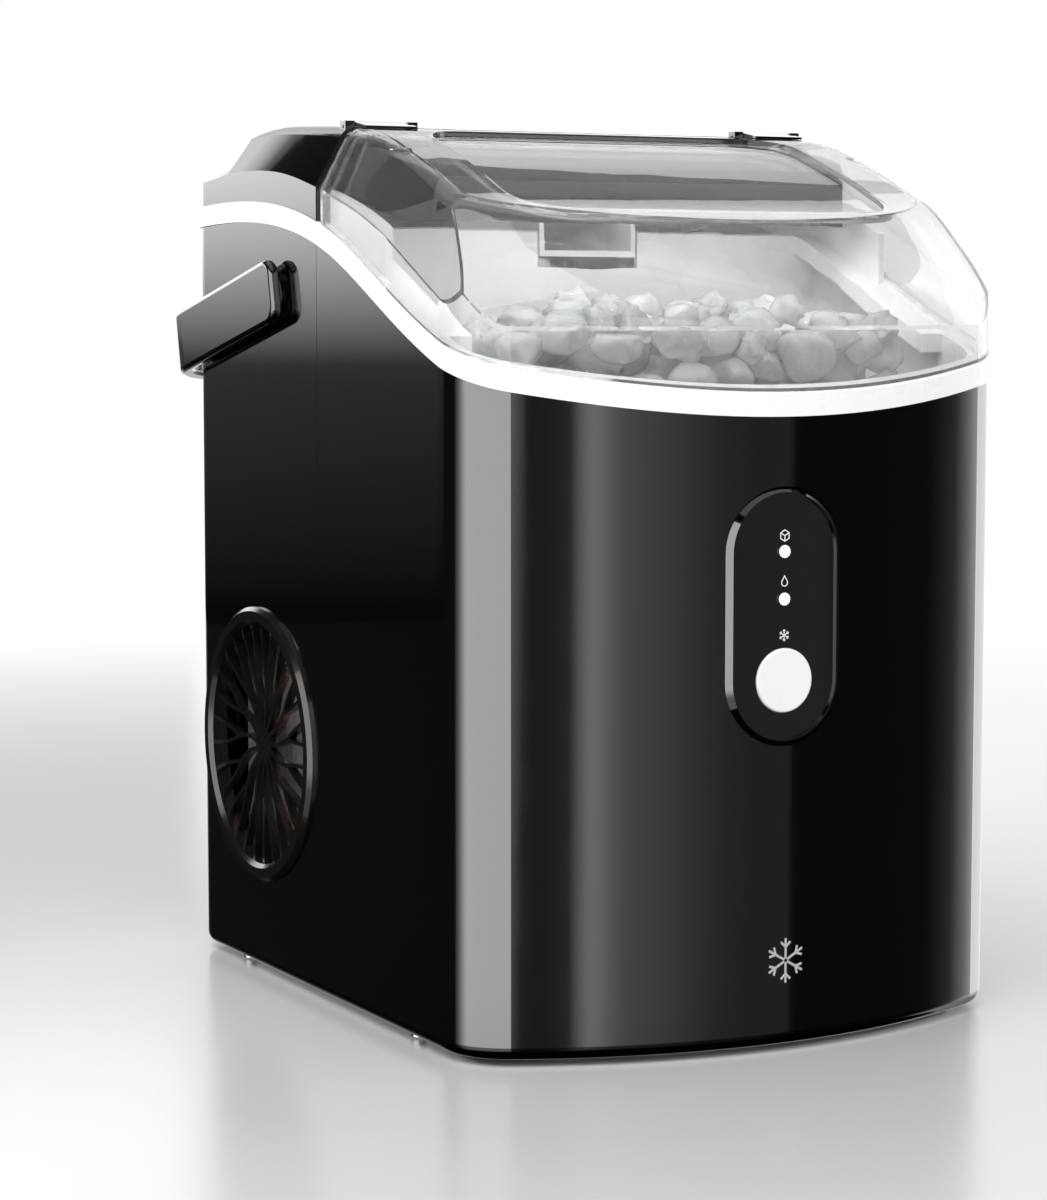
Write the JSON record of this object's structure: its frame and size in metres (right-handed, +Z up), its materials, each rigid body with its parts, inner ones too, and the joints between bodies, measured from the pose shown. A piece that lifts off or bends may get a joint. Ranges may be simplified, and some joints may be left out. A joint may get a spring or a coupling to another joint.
{
  "type": "countertop ice maker",
  "caption": "Countertop nugget ice maker with a gloss black case, white trim band, clear hinged lid over an ice bin, carry handle, side vents and a front button panel.",
  "frame": {"origin": "on the floor under the middle of the whole object, handle lowered and lid closed", "axes": "+Z up, the control panel faces -Y, +X to the right seen from the front"},
  "size_m": [0.238, 0.3022, 0.335],
  "materials": {
    "black_gloss_case": "high gloss moulded black",
    "black_gloss_trim": "gloss black",
    "black_vent": "semi-gloss black",
    "white_trim": "satin white",
    "white_liner": "satin white food-safe plastic",
    "white_button": "satin off-white",
    "lens_white": "translucent white",
    "clear_lid": "clear moulded plastic",
    "basket_plastic": "frosted white",
    "black_inner_plastic": "moulded black",
    "grey_inner_plastic": "moulded grey",
    "rubber": "matte",
    "hose_silicone": "translucent",
    "stainless": "machined",
    "zinc_steel": "zinc plated",
    "black_enamel": "black enamel",
    "copper": "drawn tube",
    "aluminium_fin": "mill finish",
    "foam": "closed cell foam",
    "circuit_board": "solder mask",
    "sensor_dark": "dark tinted"
  },
  "bodies": {
    "housing": {"base_pan": "grey_inner_plastic", "feet": "rubber", "case_screws": "stainless", "front_shell": "black_gloss_case", "rear_shell": "black_gloss_case", "trim_band": "white_trim", "rear_top_cover": "black_gloss_case", "hinge_pins": "stainless", "handle_bushes": "grey_inner_plastic", "vent_grille_left": "black_vent", "vent_grille_right": "black_vent", "panel_bezel": "black_gloss_trim", "panel_window": "black_gloss_trim", "indicator_lenses": "lens_white", "panel_carrier": "black_inner_plastic", "control_board": "circuit_board", "bin_liner": "white_liner", "ice_full_sensors": "sensor_dark", "ice_chute_cover": "black_gloss_case", "ice_chute": "white_liner", "extruder_head": "stainless", "freezer_barrel": "stainless", "freezer_coil": "copper", "insulation_jacket": "foam", "gear_motor": "zinc_steel", "freezer_stand": "stainless", "drive_bracket": "zinc_steel", "compressor": "black_enamel", "compressor_mounts": "rubber", "condenser_tube": "copper", "condenser_fins": "aluminium_fin", "fan_shroud": "black_inner_plastic", "fan_motor": "zinc_steel", "refrigerant_lines": "copper", "filter_drier": "copper", "water_pump": "grey_inner_plastic", "water_strainer": "grey_inner_plastic", "water_hose": "hose_silicone", "level_probes": "stainless", "power_board": "circuit_board", "board_bracket": "black_inner_plastic", "drain_spout": "grey_inner_plastic", "cord_gland": "rubber"},
    "lid": {"lid": "clear_lid", "lid_hinges": "black_gloss_trim"},
    "handle": {"handle": "black_gloss_trim"},
    "button": {"button": "white_button"},
    "ice_basket": {"ice_basket": "basket_plastic"},
    "fan": {"fan": "black_inner_plastic"},
    "auger": {"auger": "stainless"},
    "drain_cap": {"drain_cap": "hose_silicone"}
  },
  "joints": [
    {"name": "lid_hinge", "type": "hinge", "parent": "housing", "child": "lid", "pos_m": [0, 0.0046, 0.332], "axis": [-1, 0, 0], "range_deg": [0, 95]},
    {"name": "handle_pivot", "type": "hinge", "parent": "housing", "child": "handle", "pos_m": [0, 0.0438, 0.2688], "axis": [1, 0, 0], "range_deg": [0, 102]},
    {"name": "button_press", "type": "slide", "parent": "housing", "child": "button", "axis": [0, 1, 0], "range_m": [0, 0.001], "stiffness_N_per_m": 600, "springref_m": -0.0008},
    {"name": "basket_lift", "type": "slide", "parent": "housing", "child": "ice_basket", "axis": [0, 0, 1], "range_m": [0, 0.02]},
    {"name": "fan_spin", "type": "hinge", "parent": "housing", "child": "fan", "pos_m": [-0.0735, 0.0605, 0.092], "axis": [1, 0, 0], "continuous": true},
    {"name": "auger_spin", "type": "hinge", "parent": "housing", "child": "auger", "pos_m": [0, 0.0548, 0.2], "axis": [0, 0, 1], "continuous": true},
    {"name": "drain_cap_pull", "type": "slide", "parent": "housing", "child": "drain_cap", "axis": [0, 1, 0], "range_m": [0, 0.009]}
  ]
}
